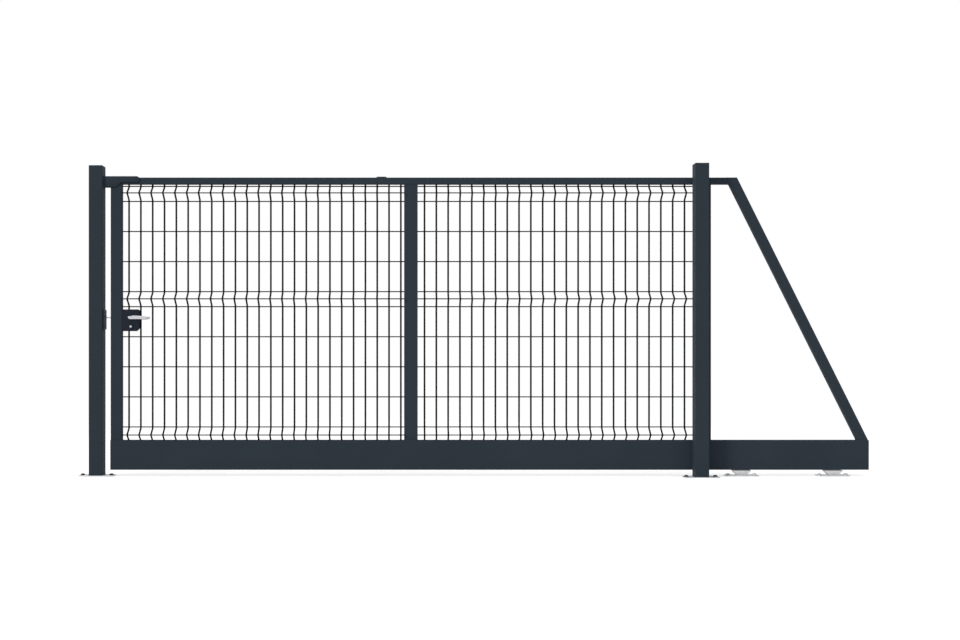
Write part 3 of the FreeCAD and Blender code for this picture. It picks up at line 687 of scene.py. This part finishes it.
def turned_ring(name, profile):
    """A ring turned about the Z axis from a closed profile of radii and heights."""
    first_radius, first_height = profile[0]
    bpy.ops.object.select_all(action="DESELECT")
    bpy.ops.mesh.primitive_circle_add(vertices=FINE_SIDES, radius=first_radius,
                                      location=(0, 0, first_height))
    bpy.context.object.name = name
    bpy.ops.object.mode_set(mode="EDIT")
    bpy.ops.mesh.select_mode(type="VERT")
    bpy.ops.mesh.select_all(action="SELECT")
    for here, there in zip(profile, profile[1:] + profile[:1]):
        share = there[0] / here[0]
        bpy.ops.mesh.extrude_region_move(TRANSFORM_OT_translate={"value": (0, 0, there[1] - here[1])})
        bpy.ops.transform.resize(value=(share, share, 1))
    bpy.ops.mesh.select_all(action="SELECT")
    bpy.ops.mesh.remove_doubles(threshold=SAME_POINT)
    bpy.ops.mesh.normals_make_consistent(inside=False)
    settle()
    bpy.ops.object.shade_smooth_by_angle(angle=SHARP_ANGLE)
    return bpy.context.object


def new_rose():
    """The round cover where a lever leaves the lock, with a low collar around the lever's neck."""
    collar_top = ROSE_HEIGHT + COLLAR_HEIGHT
    return turned_ring("rose", [
        (ROSE_BORE, 0),
        (ROSE_RADIUS, 0),
        (ROSE_RADIUS, ROSE_HEIGHT - ROSE_ROUNDING),
        (ROSE_RADIUS - ROSE_ROUNDING, ROSE_HEIGHT),
        (COLLAR_RADIUS, ROSE_HEIGHT),
        (COLLAR_RADIUS, collar_top),
        (ROSE_BORE, collar_top),
    ])


def new_cylinder_cover(height):
    """An oval cover with a round window that shows the key cylinder's plug, standing on z = 0."""
    cover = new_disc("cylinder_cover", FINE_SIDES, COVER_RADIUS, height)
    settle()
    for side in (-1, 1):
        bpy.ops.object.mode_set(mode="EDIT")
        bpy.ops.mesh.select_mode(type="VERT")
        bpy.ops.mesh.select_all(action="DESELECT")
        bpy.ops.object.mode_set(mode="OBJECT")
        for point in cover.data.vertices:
            point.select = side * point.co.y > SAME_POINT
        bpy.ops.object.mode_set(mode="EDIT")
        bpy.ops.transform.translate(value=(0, side * COVER_STRAIGHT, 0))
        bpy.ops.object.mode_set(mode="OBJECT")
    # the cutter reaches past the cover by its height at both faces
    window = new_disc("window", FINE_SIDES, WINDOW_RADIUS, 3 * height, -height)
    select_only(cover)
    opening = cover.modifiers.new("opening", "BOOLEAN")
    opening.operation = "DIFFERENCE"
    opening.object = window
    bpy.ops.object.modifier_apply(modifier="opening")
    bpy.data.objects.remove(window)
    round_edges(cover)
    return cover


def add_lock_details():
    """Roses around the levers, covers on the cylinders with a dark strip of painted shade for each keyhole,
    and the screws of lock and keep.
    """
    joints = {joint["name"]: joint for joint in frame["record"]["behaviour"]["joints"]}
    spindle = Vector(joints["handle_turn"]["pos_m"])
    low, high = corner("lock_box", False), corner("lock_box", True)
    rose = new_rose()
    cover = new_cylinder_cover(low.y - corner("key_cylinder", False).y + COVER_LIP)
    screw = socket_screw(LOCK_SCREW_RADIUS)
    sides = (("front", low.y, "key_cylinder", corner("key_cylinder", False).y),
             ("rear", high.y, "rear_key_cylinder", corner("rear_key_cylinder", True).y))
    for side, face, cylinder, cylinder_face in sides:
        out = Vector((0, face, 0)).normalized()
        fit(copied(rose, side + "_rose", (spindle.x, face, spindle.z), out), "leaf", "lock_black")
        cylinder_radius = (corner(cylinder, True).x - corner(cylinder, False).x) / 2
        plug = Vector((spindle.x, cylinder_face, corner(cylinder, True).z - cylinder_radius))
        fit(copied(cover, side + "_cylinder_cover", (plug.x, face, plug.z), out), "leaf", "lock_black")
        # A dark strip almost flush with the plug's face: painted shade standing in for the keyhole's
        # recess.
        keyhole_shade_middle = plug - out * (KEYHOLE_SHADE_RADIUS - KEYHOLE_SHADE_PROUD)
        keyhole_shade_end = Vector((0, 0, KEYHOLE_SHADE_HALF))
        keyhole_shade = bent_wire(side + "_keyway", [keyhole_shade_middle + keyhole_shade_end, keyhole_shade_middle - keyhole_shade_end],
                           KEYHOLE_SHADE_RADIUS)
        fit(keyhole_shade, "leaf", "lock_black")
        for end, z in (("low", low.z + LOCK_SCREW_INSET), ("high", high.z - LOCK_SCREW_INSET)):
            place = (low.x + LOCK_SCREW_INSET, face, z)
            fit(copied(screw, "lock_%s_%s_screw" % (side, end), place, out), "leaf", "lock_black")
    keep_low, keep_high = corner("lock_keep", False), corner("lock_keep", True)
    for end, z in (("low", keep_low.z + KEEP_SCREW_INSET), ("high", keep_high.z - KEEP_SCREW_INSET)):
        fit(copied(screw, "keep_%s_screw" % end, (keep_high.x, 0, z), (1, 0, 0)), "base", "lock_black")
    for pattern in (rose, cover, screw):
        bpy.data.objects.remove(pattern)


# Welds

def weld_ring(name, node, height, radius, body, slot):
    """A bead around an upright tube where it meets the piece above or below it."""
    low, high = corner(node, False), corner(node, True)
    path = [(low.x, low.y, height), (high.x, low.y, height),
            (high.x, high.y, height), (low.x, high.y, height)]
    fit(bent_wire(name, path, radius, BEAD_BEND, closed=True), body, slot)


def add_welds():
    """Beads at the feet and heads of the uprights, at the posts, the brace and the upper catch."""
    for upright in ("front_stile", "centre_upright", "rear_stile"):
        weld_ring(upright + "_foot_weld", upright, RAIL_TOP_Z, BEAD_RADIUS, "leaf", "frame_paint")
        weld_ring(upright + "_head_weld", upright, TOP_RAIL_BOTTOM_Z, BEAD_RADIUS, "leaf", "frame_paint")
    for post in ("catch_post", "guide_post"):
        plate_top = corner(post + "_plate", True).z
        weld_ring(post + "_foot_weld", post, plate_top, POST_BEAD_RADIUS, "base", "post_paint")
    low, high = corner("brace", False), corner("brace", True)
    slice_end = high.x - BEAD_BEND
    foot = [(slice_end, low.y, RAIL_TOP_Z), (high.x - BRACE_SLICE, low.y, RAIL_TOP_Z),
            (high.x - BRACE_SLICE, high.y, RAIL_TOP_Z), (slice_end, high.y, RAIL_TOP_Z)]
    fit(bent_wire("brace_foot_weld", foot, BEAD_RADIUS, BEAD_BEND), "leaf", "frame_paint")
    rail_end = corner("top_rail", True)
    for side, y in (("front", low.y), ("rear", high.y)):
        seam = [(rail_end.x, y, TOP_RAIL_BOTTOM_Z), (low.x, y, high.z)]
        fit(bent_wire("brace_head_%s_weld" % side, seam, BEAD_RADIUS), "leaf", "frame_paint")
    catch_low, catch_high = corner("upper_catch", False), corner("upper_catch", True)
    edge = [(catch_low.x, catch_low.y, catch_low.z), (catch_low.x, catch_low.y, catch_high.z),
            (catch_low.x, catch_high.y, catch_high.z), (catch_low.x, catch_high.y, catch_low.z)]
    fit(bent_wire("catch_weld", edge, BEAD_RADIUS, BEAD_BEND), "base", "post_paint")


# Pieces whose edges are rounded a little more finely than in the solids

SOFT_EDGED = ("upper_catch", "lock_keep", "lock_box", "latch_tongue", "lever_handle", "rear_lever",
              "stop_plate", "guide_bracket", "front_carriage_foot", "rear_carriage_foot")


def soften_edges(node):
    """Stand in for a piece with a copy whose sharp edges are rounded."""
    piece = copied(frame["nodes"][node], node + "_finished")
    select_only(piece)
    bpy.ops.mesh.customdata_custom_splitnormals_clear()
    bpy.ops.object.mode_set(mode="EDIT")
    bpy.ops.mesh.select_all(action="SELECT")
    bpy.ops.mesh.remove_doubles(threshold=SAME_POINT)
    bpy.ops.mesh.dissolve_limited(angle_limit=FLAT_ANGLE)
    bpy.ops.object.mode_set(mode="OBJECT")
    round_edges(piece)
    body = next(name for name, nodes in BODIES.items() if node in nodes)
    slot = next(part["material_slot"] for part in SUBPARTS if part["node"] == node)
    fit(piece, body, slot)
    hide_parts(node)


SCENE.view_settings.view_transform = "Standard"
add_camera()
add_sky()
add_floor()
add_overhead()
add_key()

for part in SUBPARTS:
    dress(frame["nodes"][part["node"]], part["material_slot"])
add_mesh()
add_anchors()
add_bracket_bolts()
add_lock_details()
add_welds()
for node in SOFT_EDGED:
    soften_edges(node)
